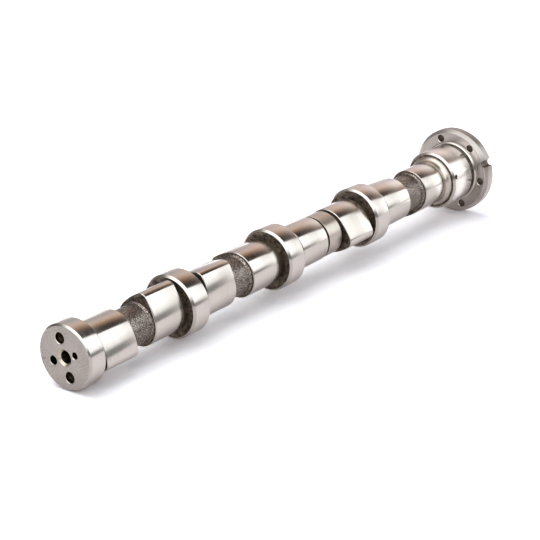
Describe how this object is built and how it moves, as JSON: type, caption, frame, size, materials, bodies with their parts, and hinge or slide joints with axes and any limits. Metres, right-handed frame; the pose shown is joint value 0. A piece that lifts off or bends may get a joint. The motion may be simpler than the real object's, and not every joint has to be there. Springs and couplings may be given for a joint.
{
  "type": "engine camshaft",
  "caption": "Steel camshaft for a small in-line engine: ground journals and lobes on one shaft, with a bolting flange at one end and a drilled face at the other.",
  "frame": {"origin": "on the shaft's axis at the rear face of the flange, on which it stands", "axes": "+Z along the axis from the flange to the free end; -Y is the side that faces up in the picture, where the shaft lies"},
  "size_m": [0.059, 0.059, 0.4],
  "materials": {
    "camshaft": "ground and polished journals and lobes, shot-blasted necks, finely turned flange and end face"
  },
  "bodies": {
    "root": {"camshaft": "camshaft"}
  },
  "joints": []
}
